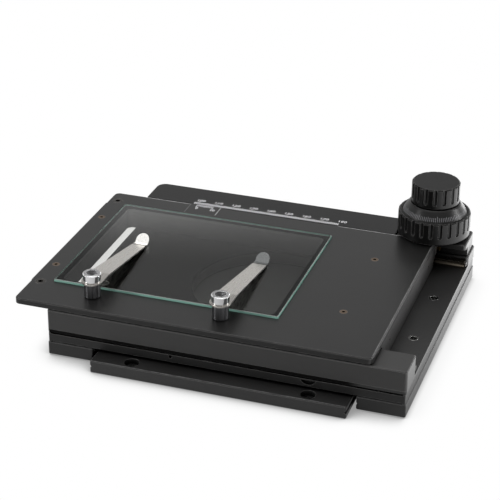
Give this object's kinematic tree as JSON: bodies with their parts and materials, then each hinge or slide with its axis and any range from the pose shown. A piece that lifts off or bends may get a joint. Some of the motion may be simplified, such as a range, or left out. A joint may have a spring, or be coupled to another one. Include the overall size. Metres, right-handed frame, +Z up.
{
  "type": "microscope stage",
  "caption": "Mechanical X-Y microscope stage: a glass-topped plate on a ball-guided sliding carriage, with rack drives turned by stacked coaxial knobs, a vernier scale and specimen clips.",
  "frame": {"origin": "underside of the mounting plate, below the middle of the carriage's 180 x 150 mm footprint at rest", "axes": "+X to the right, along the travel of the stage plate and its millimetre scale; +Y to the back, towards the scale and the knobs; +Z up"},
  "size_m": [0.1977, 0.1675, 0.0581],
  "materials": {
    "black_anodised": "black anodised, satin",
    "black_gloss": "glossy black",
    "knob_black": "black anodised, fine turned",
    "rail_steel": "ground",
    "screw_black": "black oxide",
    "shaft_steel": "ground",
    "spring_steel": "polished spring steel",
    "chrome": "polished",
    "brass": "machined",
    "glass": "clear float glass, ground edges"
  },
  "bodies": {
    "mounting_base": {"mounting_plate": "black_anodised", "y_rack": "shaft_steel", "y_rack_screws": "screw_black"},
    "y_carriage": {"guide_block_left": "black_anodised", "guide_block_right": "black_anodised", "spacer_plate": "black_anodised", "channel_floor": "black_anodised", "carriage_screws": "screw_black", "front_bar": "black_anodised", "rear_beam": "black_anodised", "beam_screws": "screw_black", "fixed_rail_front": "rail_steel", "fixed_rail_rear": "rail_steel", "fixed_rail_screws": "screw_black", "rail_end_screws": "screw_black", "scale_riser": "black_anodised", "scale_plate": "black_anodised", "knob_housing": "black_anodised", "drive_bush": "brass", "lower_bush": "brass"},
    "y_ball_cages": {"y_cage_left": "brass", "y_cage_right": "brass", "y_balls_left": "shaft_steel", "y_balls_right": "shaft_steel"},
    "x_carriage": {"stage_plate": "black_anodised", "stage_frame": "black_anodised", "end_cover": "black_anodised", "end_cover_screws": "screw_black", "moving_rail_front": "rail_steel", "moving_rail_rear": "rail_steel", "moving_rail_screws": "screw_black", "x_rack": "shaft_steel", "x_rack_screws": "screw_black", "plate_screws": "screw_black", "edge_screws": "screw_black", "glass_plate": "glass", "vernier_plate": "black_anodised", "clip_post_left": "black_gloss", "clip_post_right": "black_gloss", "clip_screw_left": "chrome", "clip_screw_right": "chrome"},
    "clip_left": {"clip_left": "spring_steel"},
    "clip_right": {"clip_right": "spring_steel"},
    "x_ball_cages": {"x_cage_front": "brass", "x_cage_rear": "brass", "x_balls_front": "shaft_steel", "x_balls_rear": "shaft_steel"},
    "x_drive": {"x_knob": "knob_black", "graduated_dial": "knob_black", "x_shaft": "shaft_steel", "x_pinion": "brass", "x_knob_screw": "screw_black"},
    "y_drive": {"y_knob": "knob_black", "y_shaft": "shaft_steel", "y_pinion": "brass", "y_knob_screw": "screw_black"}
  },
  "joints": [
    {"name": "y_slide", "type": "slide", "parent": "mounting_base", "child": "y_carriage", "axis": [0, 1, 0], "range_m": [-0.05, 0]},
    {"name": "y_ball_travel", "type": "slide", "parent": "mounting_base", "child": "y_ball_cages", "axis": [0, 1, 0], "range_m": [-0.026, 0]},
    {"name": "x_slide", "type": "slide", "parent": "y_carriage", "child": "x_carriage", "axis": [1, 0, 0], "range_m": [0, 0.075]},
    {"name": "x_ball_travel", "type": "slide", "parent": "y_carriage", "child": "x_ball_cages", "axis": [1, 0, 0], "range_m": [0, 0.038]},
    {"name": "x_knob_turn", "type": "hinge", "parent": "y_carriage", "child": "x_drive", "pos_m": [0.0694, 0.0645, 0.0362], "axis": [0, 0, 1], "range_deg": [-1, 769]},
    {"name": "y_knob_turn", "type": "hinge", "parent": "y_carriage", "child": "y_drive", "pos_m": [0.0694, 0.0645, 0.0514], "axis": [0, 0, 1], "range_deg": [-513, 1]},
    {"name": "left_clip_swing", "type": "hinge", "parent": "x_carriage", "child": "clip_left", "pos_m": [-0.0717, -0.0606, 0.037], "axis": [0, 0, 1], "range_deg": [-22, 60]},
    {"name": "right_clip_swing", "type": "hinge", "parent": "x_carriage", "child": "clip_right", "pos_m": [-0.0055, -0.0606, 0.037], "axis": [0, 0, 1], "range_deg": [-60, 22]}
  ],
  "couplings": [
    {"joint": "x_knob_turn", "follows": "x_slide", "rad_per_m": 178.57},
    {"joint": "y_knob_turn", "follows": "y_slide", "rad_per_m": 178.57},
    {"joint": "x_ball_travel", "follows": "x_slide", "ratio": 0.5},
    {"joint": "y_ball_travel", "follows": "y_slide", "ratio": 0.5}
  ]
}
